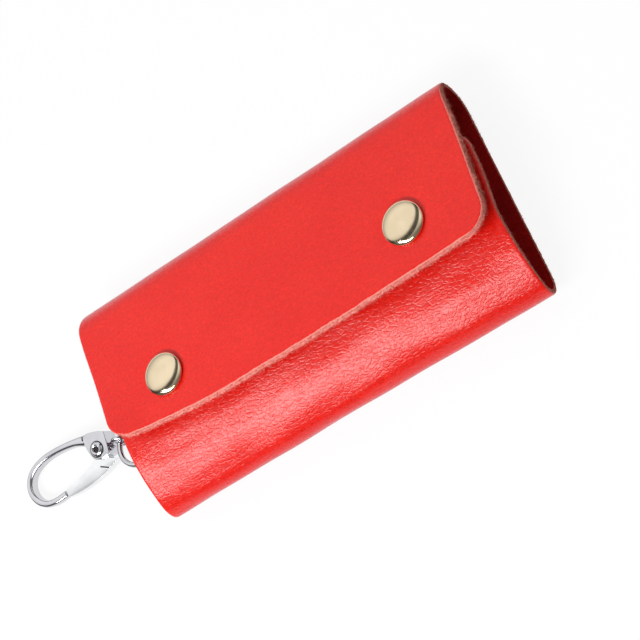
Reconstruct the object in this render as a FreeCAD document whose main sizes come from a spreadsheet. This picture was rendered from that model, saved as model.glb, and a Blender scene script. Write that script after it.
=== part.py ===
import FreeCAD, Part
import math
import os
from types import SimpleNamespace

from FreeCAD import Placement, Rotation, Vector

# A three-fold leather key case with two snap fasteners, a rail of six swivelling key hooks
# inside, and a trigger clasp on a wire ring outside.
# Millimetres and degrees. X runs along the case and the clasp is at the low end, Y runs across
# it with the front flap's fold at the high side, and Z = 0 is the outer face of the back.

# A text is a formula on the sizes above it: folds, flaps and snaps follow the case, and the
# rail and its hooks follow the room between the folds.
HOOKS = 6
SIZES = {
    "case_length": 120.0, "case_width": 60.0, "leather": 1.4,
    "top_fold": "=case_width * 0.1333", "lower_fold": "=case_width * 0.0983",
    "front_slope": 10.0, "front_reach": "=case_width * 0.69", "front_corner": 6.5,
    "under_rise": 35.0, "under_slope": 6.0, "under_reach": "=case_width * 0.6933", "under_corner": 5.5,
    "snap_spacing": "=case_length * 0.64", "snap_from_fold": "=case_width * 0.4933", "snap_gap": 0.6,
    "cap_diameter": 11.6, "cap_height": 2.2, "cap_barrel": 3.0,
    "socket_diameter": 9.6, "socket_height": 1.5, "socket_bore": 4.6,
    "spring_wire": 0.5, "spring_room": 0.1,
    "stud_diameter": 8.4, "stud_flange": 0.5, "knob_diameter": 3.2, "knob_height": 1.2,
    "post_diameter": 8.4, "post_flange": 0.5, "post_barrel": 1.6,
    "rail_margin": 0.2, "rail_length": "=case_width - 2 * max(top_fold; lower_fold) - 2 * rail_margin",
    "rail_width": 10.5, "rail_sheet": 1.0, "rail_inset": 4.5, "rail_wall": 7.0,
    "rivet_shank": 2.4, "rivet_head": 4.6, "rivet_head_height": 0.8, "rivet_inset": 2.6,
    "rivet_cap": 7.0, "rivet_cap_height": 0.5,
    "hook_pitch": f"=rail_length / {HOOKS}", "hook_room": 1.07, "hook_width": "=hook_pitch - hook_room",
    "hook_wire": "=hook_width * 0.29", "hook_axis": 4.6, "hook_length": 20.0,
    "swivel_pin": "=hook_wire", "swivel_lip": 0.7, "swivel_head": "=swivel_pin + 2 * swivel_lip",
    "swivel_head_height": 0.8,
    "hook_base": 3.0, "hook_wall": 0.3, "hook_base_height": "=swivel_pin + 2 * hook_wall", "hook_nose": 3.0,
    "gate_strip": 1.1, "gate_eye": "=hook_wire", "gate_pin": "=gate_eye / 2",
    "running_fit": 0.08, "end_play": 0.2,
    "ring_wire": 1.6, "ring_radius": 7.2, "ring_tilt": 20.0, "ring_height": 5.4, "ring_offset": 6.6,
    "ring_room": 0.5, "ear_sheet": 1.0, "ear_rim": 1.5, "ring_overhang": 0.7,
    "eye_bearing": 26.0, "clasp_bearing": 9.0,
    "eye_radius": 1.9, "eye_wire": 1.4, "eye_slack": 0.2, "eye_stem": 1.8,
    "eye_head": 2.8, "eye_head_height": 0.5,
    "barrel_diameter": 4.8, "barrel_wall": 0.8,
    "loop_length": 27.7, "loop_width": 12.5, "loop_rod": 2.6,
    "shank_height": 4.8, "pivot_pin": 1.8, "pivot_head": 4.0, "pivot_head_height": 0.5,
    "lever_eye": 3.8, "lever_sheet": 2.6, "lever_room": 0.2, "nose_gap": 0.3,
    "coil_diameter": 2.8, "coil_height": 0.9,
    "overrun": 1.0,
}

doc = FreeCAD.newDocument("key_case")
sheet = doc.addObject("Spreadsheet::Sheet", "sizes")
for row, (alias, number) in enumerate(SIZES.items(), 1):
    sheet.set(f"A{row}", alias)
    sheet.set(f"B{row}", str(number))
    sheet.setAlias(f"B{row}", alias)
doc.recompute()
size = SimpleNamespace(**{alias: float(sheet.get(alias)) for alias in SIZES})

ALONG_X = Vector(1, 0, 0)
ALONG_Y = Vector(0, 1, 0)
UP = Vector(0, 0, 1)
nodes = []


def bind(thing, **formulas):
    """Tie properties of an object to the sheet."""
    for name, formula in formulas.items():
        thing.setExpression(name, formula)


def node(label, thing):
    """Keep a finished sub-part under the name of its file."""
    thing.Label = label
    nodes.append(thing)
    return thing


def rod(name, diameter, height, start, direction):
    """A cylinder from start along direction."""
    thing = doc.addObject("Part::Cylinder", name)
    bind(thing, Radius=f"({diameter}) / 2", Height=height)
    thing.Placement = Placement(start, Rotation(UP, direction))
    return thing


def block(name, length, width, height, corner):
    """A box with its lowest corner at the given point."""
    thing = doc.addObject("Part::Box", name)
    bind(thing, Length=length, Width=width, Height=height)
    thing.Placement = Placement(corner, Rotation())
    return thing


def hoop(name, radius, wire, centre, axis):
    """A torus of round wire."""
    thing = doc.addObject("Part::Torus", name)
    bind(thing, Radius1=radius, Radius2=f"({wire}) / 2")
    thing.Placement = Placement(centre, Rotation(UP, axis))
    return thing


def dome(name, diameter, height, base, axis):
    """A flat-bottomed segment of a sphere, given its base diameter and its height."""
    thing = doc.addObject("Part::Sphere", name)
    radius = f"((({diameter}) / 2) ^ 2 + ({height}) ^ 2) / (2 * ({height}))"
    bind(thing, Radius=radius, Angle1=f"asin(1 - ({height}) / ({radius}))")
    doc.recompute()
    sink = thing.Radius.Value * math.sin(math.radians(thing.Angle1.Value))
    thing.Placement = Placement(base - axis * sink, Rotation(UP, axis))
    return thing


def fuse(name, *things):
    thing = doc.addObject("Part::MultiFuse", name)
    thing.Shapes = list(things)
    thing.Refine = True
    return thing


def cut(name, base, *tools):
    thing = doc.addObject("Part::Cut", name)
    thing.Base = base
    thing.Tool = tools[0] if len(tools) == 1 else fuse(name + "_tools", *tools)
    thing.Refine = True
    return thing


def common(name, first, second):
    thing = doc.addObject("Part::Common", name)
    thing.Base = first
    thing.Tool = second
    return thing


def rounded(points, radii, closed):
    """Lines through the points, with a tangent arc of the given radius at each corner."""
    count = len(points)
    ends = []
    arcs = []
    for index, (point, radius) in enumerate(zip(points, radii)):
        if radius == 0 or not closed and index in (0, count - 1):
            ends.append((point, point))
            arcs.append(None)
            continue
        back = (points[index - 1] - point).normalize()
        on = (points[(index + 1) % count] - point).normalize()
        half = back.getAngle(on) / 2
        reach = radius / math.tan(half)
        inward = (back + on).normalize()
        middle = point + inward * (radius / math.sin(half) - radius)
        ends.append((point + back * reach, point + on * reach))
        arcs.append(Part.Arc(ends[-1][0], middle, ends[-1][1]))
    edges = []
    for index in range(count):
        if arcs[index]:
            edges.append(arcs[index])
        if index == count - 1 and not closed:
            break
        start = ends[index][1]
        end = ends[(index + 1) % count][0]
        if start.distanceToPoint(end) > Part.Precision.confusion():
            edges.append(Part.LineSegment(start, end))
    return edges


def plate(name, points, radii, thickness, place):
    """A sheet with a rounded outline, padded up from the XY plane of its own place."""
    body = doc.addObject("PartDesign::Body", name)
    plane = next(feature for feature in body.Origin.OriginFeatures if feature.Role == "XY_Plane")
    sketch = body.newObject("Sketcher::SketchObject", name + "_outline")
    sketch.AttachmentSupport = [(plane, "")]
    sketch.MapMode = "FlatFace"
    sketch.addGeometry(rounded(points, radii, True), False)
    pad = body.newObject("PartDesign::Pad", name + "_pad")
    pad.Profile = sketch
    bind(pad, Length=thickness)
    body.Placement = place
    return body


def bent_rod(name, points, radii, diameter, place):
    """Round wire along straight runs and tangent arcs in one plane."""
    path = rounded(points, radii, False)
    spine = doc.addObject("Sketcher::SketchObject", name + "_path")
    spine.addGeometry(path, False)
    spine.Placement = place
    section = doc.addObject("Part::Circle", name + "_section")
    bind(section, Radius=f"({diameter}) / 2")
    heading = points[1] - points[0]
    section.Placement = place * Placement(points[0], Rotation(UP, heading))
    sweep = doc.addObject("Part::Sweep", name)
    sweep.Sections = [section]
    sweep.Spine = (spine, [f"Edge{number}" for number in range(1, len(path) + 1)])
    sweep.Solid = True
    return sweep


def fold(name, radius, centre, start, sweep):
    """Leather bent round an axis along X; angles go from straight down towards the high Y side."""
    turn = Rotation(ALONG_Y, 90) * Rotation(UP, start)
    corner = Vector(-size.case_length / 2, centre.y, centre.z)
    outer = doc.addObject("Part::Cylinder", name + "_outer")
    bind(outer, Radius=radius, Height="sizes.case_length", Angle=sweep)
    outer.Placement = Placement(corner, turn)
    inner = doc.addObject("Part::Cylinder", name + "_inner")
    bind(inner, Radius=f"{radius} - sizes.leather", Height="sizes.case_length + 2 * sizes.overrun")
    inner.Placement = Placement(corner - ALONG_X * size.overrun, turn)
    return cut(name, outer, inner)


def slope(angle):
    """Sine and cosine of an angle in degrees."""
    return math.sin(math.radians(angle)), math.cos(math.radians(angle))


# Leather profile across the case. The front flap leaves its fold along front_dir, and its
# outer face looks along front_up; the under flap's flat end goes along under_dir.
rise_sin, rise_cos = slope(size.front_slope)
front_dir = Vector(0, -rise_cos, rise_sin)
front_up = Vector(0, rise_sin, rise_cos)
fall_sin, fall_cos = slope(size.under_slope)
under_dir = Vector(0, fall_cos, -fall_sin)
under_up = Vector(0, fall_sin, fall_cos)

top_axis = Vector(0, size.case_width / 2 - size.top_fold, size.top_fold)
low_axis = Vector(0, -size.case_width / 2 + size.lower_fold, size.lower_fold)
front_start = top_axis + front_up * size.top_fold
front_hinge = Vector(0, size.case_width / 2, size.top_fold)
under_hinge = Vector(0, -size.case_width / 2, size.lower_fold)
front_flat = (front_start.y - front_hinge.y + size.front_reach) / rise_cos

snap_face = front_start + front_dir * ((front_start.y - front_hinge.y + size.snap_from_fold) / rise_cos)
snap_inside = snap_face - front_up * size.leather
stud_face = snap_inside - front_up * (size.socket_height + size.snap_gap + size.stud_flange)

# The under flap climbs from the lower fold in one large arc, and runs flat under the snaps.
climb_sin, climb_cos = slope(size.under_rise)
climb_up = Vector(0, -climb_sin, climb_cos)
crest_start = low_axis + climb_up * size.lower_fold
crest_turn = math.radians(size.under_rise + size.under_slope)
crest_radius = (stud_face - crest_start).dot(under_up) / (1 - math.cos(crest_turn))
crest_axis = crest_start - climb_up * crest_radius
under_start = crest_axis + under_up * crest_radius
under_flat = (under_hinge.y + size.under_reach - under_start.y) / fall_cos
snap_places = {"left": -size.snap_spacing / 2, "right": size.snap_spacing / 2}

# Places along X: the rail inside, then the ring, then the clasp beyond the end of the case.
rail_low = -size.case_length / 2 + size.rail_inset
rail_top = size.leather + size.rail_sheet
wall_low = rail_low + size.rail_width - size.rail_sheet
ring_centre = Vector(-size.case_length / 2 - size.ring_overhang, -size.ring_offset, size.ring_height)
tilt_sin, tilt_cos = slope(size.ring_tilt)
ring_up = Vector(0, tilt_sin, tilt_cos)
wire_dir = Vector(0, -tilt_cos, tilt_sin)
ear_point = ring_centre + ALONG_X * size.ring_radius
eye_point = ring_centre - Rotation(ring_up, -size.eye_bearing) * ALONG_X * size.ring_radius


def flap_sheet(name, length, corner, start, across, along):
    """The flat part of a flap with round free corners, its outer face through start."""
    half = size.case_length / 2
    outline = [Vector(-half, 0, 0), Vector(half, 0, 0), Vector(half, length, 0), Vector(-half, length, 0)]
    turn = Rotation(across, along, across.cross(along), "XYZ")
    return plate(name, outline, [0, 0, corner, corner], "sizes.leather", Placement(start, turn))


def snap_holes(name, face, up, diameter):
    """Tools for the two holes through a flap."""
    depth = "sizes.leather + 2 * sizes.overrun"
    return [rod(f"{name}_{side}", diameter, depth, Vector(x, face.y, face.z) + up * size.overrun, -up)
            for side, x in snap_places.items()]


def rivet_places():
    """The rail's two rivets, on the axis of its base."""
    reach = size.rail_length / 2 - size.rivet_inset
    middle = (rail_low + wall_low) / 2
    return [Vector(middle, -reach, 0), Vector(middle, reach, 0)]


def make_back_panel():
    flat_width = "sizes.case_width - sizes.top_fold - sizes.lower_fold"
    corner = Vector(-size.case_length / 2, low_axis.y, 0)
    flat = block("back_flat", "sizes.case_length", flat_width, "sizes.leather", corner)
    top = fold("back_top_fold", "sizes.top_fold", top_axis, 0, "90")
    low = fold("back_low_fold", "sizes.lower_fold", low_axis, -90, "90")
    whole = fuse("back_whole", flat, top, low)
    tools = []
    for number, place in enumerate(rivet_places()):
        below = place - UP * size.overrun
        tools.append(rod(f"back_hole_{number}", "sizes.rivet_shank", "sizes.leather + 2 * sizes.overrun",
                         below, UP))
        tools.append(rod(f"back_recess_{number}", "sizes.rivet_cap",
                         "sizes.rivet_cap_height + sizes.overrun", below, UP))
    node("back_panel", cut("back_panel", whole, *tools))


def make_front_flap():
    bend = fold("front_bend", "sizes.top_fold", top_axis, 90, "90 - sizes.front_slope")
    flat = flap_sheet("front_flat", front_flat, size.front_corner, front_start, ALONG_X, front_dir)
    whole = fuse("front_whole", bend, flat)
    holes = snap_holes("front_hole", snap_face, front_up, "sizes.cap_barrel")
    node("front_flap", cut("front_flap", whole, *holes))


def make_under_flap():
    bend = fold("under_bend", "sizes.lower_fold", low_axis, -180 + size.under_rise, "90 - sizes.under_rise")
    crest = fold("under_crest", f"{crest_radius}", crest_axis, -180 - size.under_slope,
                 "sizes.under_rise + sizes.under_slope")
    flat = flap_sheet("under_flat", under_flat, size.under_corner, under_start, -ALONG_X, under_dir)
    whole = fuse("under_whole", bend, crest, flat)
    holes = snap_holes("under_hole", stud_face, under_up, "sizes.post_barrel")
    node("under_flap", cut("under_flap", whole, *holes))


def make_snap(side, x):
    """Cap and socket clench the front flap, stud and post clench the under flap."""
    face = Vector(x, snap_face.y, snap_face.z)
    inside = Vector(x, snap_inside.y, snap_inside.z)
    under = Vector(x, stud_face.y, stud_face.z)
    name = f"{side}_snap"

    head = dome(f"{name}_dome", "sizes.cap_diameter", "sizes.cap_height", face, front_up)
    barrel = rod(f"{name}_barrel", "sizes.cap_barrel", "sizes.leather", face, -front_up)
    node(f"{name}_cap", fuse(f"{name}_cap", head, barrel))

    mouth = inside - front_up * size.socket_height
    disc = rod(f"{name}_disc", "sizes.socket_diameter", "sizes.socket_height", inside, -front_up)
    bore = rod(f"{name}_bore", "sizes.socket_bore", "sizes.knob_height + sizes.overrun",
               mouth - front_up * size.overrun, front_up)
    ring_level = mouth + front_up * (size.spring_wire / 2 + size.snap_gap)
    spring_radius = "sizes.socket_bore / 2 + sizes.spring_wire / 4"
    groove = hoop(f"{name}_groove", spring_radius, "sizes.spring_wire + 2 * sizes.spring_room",
                  ring_level, front_up)
    node(f"{name}_socket", cut(f"{name}_socket", disc, bore, groove))
    spring = hoop(f"{name}_spring", spring_radius, "sizes.spring_wire", ring_level, front_up)
    node(f"{name}_spring", spring)

    flange = rod(f"{name}_stud_flange", "sizes.stud_diameter", "sizes.stud_flange", under, under_up)
    knob = dome(f"{name}_knob", "sizes.knob_diameter", "sizes.knob_height",
                under + under_up * size.stud_flange, under_up)
    seat = rod(f"{name}_seat", "sizes.post_barrel", "sizes.stud_flange + sizes.overrun",
               under - under_up * size.overrun, under_up)
    node(f"{name}_stud", cut(f"{name}_stud", fuse(f"{name}_stud_whole", flange, knob), seat))

    below = under - under_up * size.leather
    plate_disc = rod(f"{name}_post_disc", "sizes.post_diameter", "sizes.post_flange", below, -under_up)
    shank = rod(f"{name}_shank", "sizes.post_barrel", "sizes.leather + sizes.stud_flange", below, under_up)
    node(f"{name}_post", fuse(f"{name}_post", plate_disc, shank))


def hook_places():
    """Where the swivel axes of the six hooks cross the rail's wall."""
    first = -size.hook_pitch * (HOOKS - 1) / 2
    level = size.leather + size.hook_axis
    return [Vector(wall_low, first + number * size.hook_pitch, level) for number in range(HOOKS)]


def make_rail():
    """A bent strip: a base on the back, a wall for the swivels and an ear for the ring."""
    half = size.rail_length / 2
    base = block("rail_base", "sizes.rail_width", "sizes.rail_length", "sizes.rail_sheet",
                 Vector(rail_low, -half, size.leather))
    wall = block("rail_wall", "sizes.rail_sheet", "sizes.rail_length", "sizes.rail_sheet + sizes.rail_wall",
                 Vector(wall_low, -half, size.leather))
    ear_side = ear_point - ALONG_Y * (size.ear_sheet / 2)
    rim = "sizes.ring_wire + 2 * sizes.ring_room + 2 * sizes.ear_rim"
    ear = rod("rail_ear", rim, "sizes.ear_sheet", ear_side, ALONG_Y)
    ear_half = size.ring_wire / 2 + size.ring_room + size.ear_rim
    foot = block("rail_ear_foot", f"{ear_point.x - rail_low} + ({rim}) / 2", "sizes.ear_sheet",
                 f"{ear_point.z - size.leather}", Vector(rail_low, ear_side.y, size.leather))
    foot_room = block("rail_ear_room", rim, "3 * sizes.ear_sheet", rim,
                      Vector(ear_point.x - ear_half, ear_side.y - size.ear_sheet, size.leather))
    ear_whole = common("rail_ear_whole", fuse("rail_ear_long", ear, foot), fuse(
        "rail_ear_limit", foot_room, rod("rail_ear_limit_round", rim, "sizes.ear_sheet", ear_side, ALONG_Y)))
    whole = fuse("rail_whole", base, wall, ear_whole)
    tools = [rod("rail_ear_hole", "sizes.ring_wire + 2 * sizes.ring_room",
                 "sizes.ear_sheet + 2 * sizes.overrun", ear_side - ALONG_Y * size.overrun, ALONG_Y)]
    for number, place in enumerate(hook_places()):
        tools.append(rod(f"rail_swivel_hole_{number}", "sizes.swivel_pin + 2 * sizes.running_fit",
                         "sizes.rail_sheet + 2 * sizes.overrun", place - ALONG_X * size.overrun, ALONG_X))
    for number, place in enumerate(rivet_places()):
        tools.append(rod(f"rail_rivet_hole_{number}", "sizes.rivet_shank",
                         "sizes.rail_sheet + 2 * sizes.overrun",
                         place + UP * (size.leather - size.overrun), UP))
    node("key_rail", cut("key_rail", whole, *tools))


def make_rivets():
    """Two rivets through rail and leather, each set in a cap that lies flush in the back."""
    rivets = []
    caps = []
    for number, place in enumerate(rivet_places()):
        seat = place + UP * size.rivet_cap_height
        shank_length = "sizes.leather + sizes.rail_sheet - sizes.rivet_cap_height"
        shank = rod(f"rivet_shank_{number}", "sizes.rivet_shank", shank_length, seat, UP)
        head = dome(f"rivet_head_{number}", "sizes.rivet_head", "sizes.rivet_head_height",
                    place + UP * rail_top, UP)
        rivets.append(fuse(f"rivet_{number}", shank, head))
        caps.append(rod(f"rivet_cap_{number}", "sizes.rivet_cap", "sizes.rivet_cap_height", place, UP))
    for label, things in (("rail_rivets", rivets), ("rail_rivet_caps", caps)):
        group = doc.addObject("Part::Compound", label)
        group.Links = things
        node(label, group)


def make_hook(number, place):
    """A headed swivel through the rail's wall, a wire loop on it and a gate across the loop."""
    name = f"hook_{number}"
    inner = place - ALONG_X * size.end_play
    head = rod(f"{name}_head", "sizes.swivel_head", "sizes.swivel_head_height", inner, -ALONG_X)
    pin = rod(f"{name}_pin", "sizes.swivel_pin", "sizes.rail_sheet + 2 * sizes.end_play + sizes.hook_base",
              inner, ALONG_X)
    node(f"hook_swivel_{number}", fuse(f"hook_swivel_{number}", head, pin))

    base_start = place + ALONG_X * (size.rail_sheet + size.end_play)
    rail = (size.hook_width - size.hook_wire) / 2
    base = block(f"{name}_base", "sizes.hook_base", "sizes.hook_width", "sizes.hook_base_height",
                 base_start - ALONG_Y * (size.hook_width / 2) - UP * (size.hook_base_height / 2))
    end = size.hook_length - size.hook_wire / 2
    points = [Vector(size.hook_base / 2, rail, 0), Vector(end, rail, 0), Vector(end, -rail, 0),
              Vector(end - rail - size.hook_nose, -rail, 0)]
    loop = bent_rod(f"{name}_loop", points, [0, rail, rail, 0], "sizes.hook_wire",
                    Placement(base_start, Rotation()))
    bore = rod(f"{name}_bore", "sizes.swivel_pin", "sizes.hook_base + 2 * sizes.overrun",
               base_start - ALONG_X * size.overrun, ALONG_X)
    hinge = base_start + Vector(size.hook_base - size.gate_eye / 2, -rail, 0)
    room_length = "sizes.hook_base + sizes.overrun"
    room_width = "sizes.gate_eye + 2 * sizes.end_play"
    room_height = "sizes.gate_strip + 2 * sizes.running_fit"
    room_corner = hinge - Vector(size.gate_eye / 2 + size.end_play, size.gate_eye / 2 + size.end_play,
                                 size.gate_strip / 2 + size.running_fit)
    room = block(f"{name}_room", room_length, room_width, room_height, room_corner)
    open_base = cut(f"{name}_open_base", base, bore, room)
    hinge_pin = rod(f"{name}_hinge_pin", "sizes.gate_pin", "sizes.hook_base_height",
                    hinge - UP * (size.hook_base_height / 2), UP)
    node(f"hook_loop_{number}", fuse(f"hook_loop_{number}", open_base, loop, hinge_pin))

    low = hinge - UP * (size.gate_strip / 2)
    eye = rod(f"{name}_gate_eye", "sizes.gate_eye", "sizes.gate_strip", low, UP)
    nose_end = base_start.x + end - rail - size.hook_nose
    arm_length = nose_end - size.end_play - hinge.x
    arm = block(f"{name}_gate_arm", f"{arm_length}", "sizes.gate_strip", "sizes.gate_strip",
                low - ALONG_Y * (size.gate_strip / 2))
    hole = rod(f"{name}_gate_hole", "sizes.gate_pin + 2 * sizes.running_fit",
               "sizes.gate_strip + 2 * sizes.overrun", low - UP * size.overrun, UP)
    node(f"hook_gate_{number}", cut(f"hook_gate_{number}", fuse(f"{name}_gate_whole", eye, arm), hole))


# The clasp is laid out flat, with the ring's wire at its own origin and the case at its high X
# side. It is turned to its bearing in the ring's plane, and then droops about the eye's axis until
# the far end of its loop touches the table.
barrel_start = size.eye_radius + size.eye_wire / 2 + size.eye_slack + size.end_play
head_start = barrel_start + size.barrel_wall + size.end_play
slot_start = head_start + size.eye_head_height + size.end_play
pivot = Vector(-slot_start - size.lever_eye / 2 - size.lever_room, 0, 0)
bearing = Rotation(ring_up, -size.clasp_bearing)
eye_axis = bearing * wire_dir
clasp_dir = bearing * -ALONG_X
fall_dir = eye_axis.cross(clasp_dir)
loop_reach = size.loop_length - pivot.x
droop_drop = eye_point.z + clasp_dir.z * loop_reach - size.loop_rod / 2 - size.running_fit
droop = math.degrees(math.asin(-droop_drop / (loop_reach * fall_dir.z)))
clasp_place = Placement(eye_point, Rotation(eye_axis, droop) * bearing)

# Outlines are shares of the loop's length away from the pivot and of its width across.
BOW_SHARES = ((-0.035, 0.192), (0.346, 0.432), (0.779, 0.416), (1.017, -0.048), (0.955, -0.496),
              (0.761, -0.616), (0.516, -0.576))
BOW_BEND_SHARES = (0.0, 1.6, 0.72, 0.32, 0.36, 0.64, 0.0)
SHANK_SHARES = ((0.040, 0.400), (0.250, 0.448), (0.277, 0.272), (0.125, 0.096), (0.104, -0.128),
                (0.042, -0.232), (-0.048, -0.232))
LEVER_SHARES = ((0.118, -0.160), (0.540, -0.504), (0.505, -0.680), (0.225, -0.664), (-0.014, -0.576),
                (-0.152, -0.488), (-0.145, -0.400))
LEVER_BEND_SHARES = (0.16, 0.03, 0.05, 0.80, 0.32, 0.04, 0.03)


def beyond_pivot(shares):
    """A point of the clasp's plan from its shares."""
    along, across = shares
    return pivot + Vector(-along * size.loop_length, across * size.loop_width, 0)


def make_clasp_hook():
    barrel = rod("clasp_barrel", "sizes.barrel_diameter", f"{-pivot.x - barrel_start}",
                 Vector(-barrel_start, 0, 0), -ALONG_X)
    side = size.barrel_diameter / 2
    back = -barrel_start - size.barrel_wall / 2
    outline = [beyond_pivot(shares) for shares in SHANK_SHARES]
    outline += [Vector(back, -side, 0), Vector(back, side + size.barrel_wall, 0)]
    bends = [size.barrel_wall] * len(SHANK_SHARES) + [0, size.barrel_wall]
    level = Placement(Vector(0, 0, -size.shank_height / 2), Rotation())
    shank = plate("clasp_shank", outline, bends, "sizes.shank_height", level)
    bow_points = [beyond_pivot(shares) for shares in BOW_SHARES]
    bow_bends = [share * size.loop_width for share in BOW_BEND_SHARES]
    bow = bent_rod("clasp_bow", bow_points, bow_bends, "sizes.loop_rod", Placement())
    whole = fuse("clasp_whole", barrel, shank, bow)

    slot_height = "sizes.lever_sheet + 2 * sizes.lever_room"
    slot_top = size.lever_eye / 2 + size.lever_room
    slot_length = beyond_pivot(SHANK_SHARES[2]).x + slot_start
    slot = block("clasp_slot", f"{-slot_length} + sizes.overrun", f"{slot_top} + sizes.loop_width",
                 slot_height,
                 Vector(-slot_start + slot_length - size.overrun, -size.loop_width,
                        -size.lever_sheet / 2 - size.lever_room))
    neck = rod("clasp_neck", "sizes.eye_stem + 2 * sizes.running_fit",
               "sizes.barrel_wall + 2 * sizes.overrun",
               Vector(-barrel_start + size.overrun, 0, 0), -ALONG_X)
    chamber = rod("clasp_chamber", "sizes.eye_head + 2 * sizes.end_play",
                  "sizes.eye_head_height + 3 * sizes.end_play",
                  Vector(-barrel_start - size.barrel_wall, 0, 0), -ALONG_X)
    pin_hole = rod("clasp_pin_hole", "sizes.pivot_pin", "sizes.shank_height + 2 * sizes.overrun",
                   pivot - UP * (size.shank_height / 2 + size.overrun), UP)
    sweep = rod("clasp_nose_sweep", f"{2 * lever_reach()} + 2 * sizes.nose_gap",
                "sizes.shank_height", pivot - UP * (size.shank_height / 2), UP)
    nose_zone = block("clasp_nose_zone", "sizes.loop_length", "sizes.loop_width", "sizes.shank_height",
                      pivot + Vector(-size.loop_length, -size.loop_width - size.lever_eye,
                                     -size.shank_height / 2))
    nose_cut = common("clasp_nose_cut", sweep, nose_zone)
    hook = cut("clasp_hook", whole, slot, neck, chamber, pin_hole, nose_cut)
    hook.Placement = clasp_place
    node("clasp_hook", hook)


def lever_reach():
    """The radius that the lever's end sweeps about the pivot."""
    return max((beyond_pivot(shares) - pivot).Length for shares in LEVER_SHARES)


def make_clasp_gate():
    eye = size.lever_eye / 2
    outline = [pivot + Vector(eye, eye, 0), pivot + Vector(-eye, eye, 0)]
    outline += [beyond_pivot(shares) for shares in LEVER_SHARES]
    outline += [Vector(pivot.x + eye, outline[-1].y + size.lever_room, 0)]
    bends = [eye, eye] + [share * size.loop_width for share in LEVER_BEND_SHARES] + [0]
    level = Placement(Vector(0, 0, -size.lever_sheet / 2), Rotation())
    lever = plate("gate_lever", outline, bends, "sizes.lever_sheet", level)
    bore = rod("gate_bore", "sizes.pivot_pin + 2 * sizes.running_fit",
               "sizes.lever_sheet + 2 * sizes.overrun",
               pivot - UP * (size.lever_sheet / 2 + size.overrun), UP)
    well = rod("gate_well", "sizes.coil_diameter + 2 * sizes.running_fit",
               "sizes.coil_height + sizes.overrun",
               pivot + UP * (size.lever_sheet / 2 - size.coil_height), UP)
    gate = cut("clasp_gate", lever, bore, well)
    gate.Placement = clasp_place
    node("clasp_gate", gate)


def make_clasp_pins():
    half = size.shank_height / 2
    pin = rod("pivot_shank", "sizes.pivot_pin", "sizes.shank_height", pivot - UP * half, UP)
    top = rod("pivot_top", "sizes.pivot_head", "sizes.pivot_head_height", pivot + UP * half, UP)
    low = rod("pivot_low", "sizes.pivot_head", "sizes.pivot_head_height", pivot - UP * half, -UP)
    dimple = rod("pivot_dimple", "sizes.pivot_pin", "sizes.pivot_head_height",
                 pivot + UP * (half + size.pivot_head_height / 2), UP)
    rivet = cut("clasp_pivot", fuse("pivot_whole", pin, top, low), dimple)
    rivet.Placement = clasp_place
    node("clasp_pivot", rivet)

    level = pivot + UP * (size.lever_sheet / 2 - size.coil_height + size.running_fit)
    coil = rod("coil_outer", "sizes.coil_diameter", "sizes.coil_height", level, UP)
    core = rod("coil_core", "sizes.pivot_pin", "sizes.coil_height + 2 * sizes.overrun",
               level - UP * size.overrun, UP)
    spring = cut("clasp_spring", coil, core)
    spring.Placement = clasp_place
    node("clasp_spring", spring)


def make_ring_and_eye():
    node("link_ring", hoop("link_ring", "sizes.ring_radius", "sizes.ring_wire", ring_centre, ring_up))
    middle = Vector(-size.eye_slack, 0, 0)
    loop = hoop("eye_loop", "sizes.eye_radius", "sizes.eye_wire", middle, wire_dir)
    stem_start = middle - ALONG_X * size.eye_radius
    stem = rod("eye_stem", "sizes.eye_stem", f"{head_start + stem_start.x}", stem_start, -ALONG_X)
    head = rod("eye_head", "sizes.eye_head", "sizes.eye_head_height", Vector(-head_start, 0, 0), -ALONG_X)
    eye = fuse("swivel_eye", loop, stem, head)
    eye.Placement = clasp_place
    node("swivel_eye", eye)


def write_parts():
    """Check every object, then write each sub-part to its own file."""
    doc.recompute()
    for thing in doc.Objects:
        if "Invalid" in thing.State or "Error" in thing.State:
            raise RuntimeError(f"{thing.Name} failed: {thing.State}")
    for thing in nodes:
        if thing.Shape.isNull() or not thing.Shape.isValid():
            raise RuntimeError(f"{thing.Label} has no valid shape")
    os.makedirs("parts", exist_ok=True)
    for thing in nodes:
        thing.Shape.exportStep(f"parts/{thing.Label}.step")


make_back_panel()
make_front_flap()
make_under_flap()
for side, x in snap_places.items():
    make_snap(side, x)
make_rail()
make_rivets()
for number, place in enumerate(hook_places(), 1):
    make_hook(number, place)
make_ring_and_eye()
make_clasp_hook()
make_clasp_gate()
make_clasp_pins()
write_parts()
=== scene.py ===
import math

import bmesh
import bpy
import numpy as np
from mathutils import Euler, Matrix, Vector, noise


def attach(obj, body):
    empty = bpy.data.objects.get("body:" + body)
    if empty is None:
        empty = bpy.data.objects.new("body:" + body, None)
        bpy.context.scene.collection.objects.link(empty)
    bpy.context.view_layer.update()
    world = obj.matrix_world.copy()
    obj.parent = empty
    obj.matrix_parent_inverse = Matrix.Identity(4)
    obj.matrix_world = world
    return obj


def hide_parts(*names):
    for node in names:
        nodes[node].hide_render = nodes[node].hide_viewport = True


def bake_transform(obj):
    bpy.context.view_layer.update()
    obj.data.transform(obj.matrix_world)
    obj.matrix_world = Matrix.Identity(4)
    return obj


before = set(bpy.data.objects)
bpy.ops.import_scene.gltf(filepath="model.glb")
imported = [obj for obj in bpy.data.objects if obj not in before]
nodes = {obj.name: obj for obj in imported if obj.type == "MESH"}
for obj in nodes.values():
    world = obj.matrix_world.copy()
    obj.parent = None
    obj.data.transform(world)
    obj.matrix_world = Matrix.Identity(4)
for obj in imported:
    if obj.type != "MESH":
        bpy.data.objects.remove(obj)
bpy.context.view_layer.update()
MM = 0.001
scene = bpy.context.scene

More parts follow.
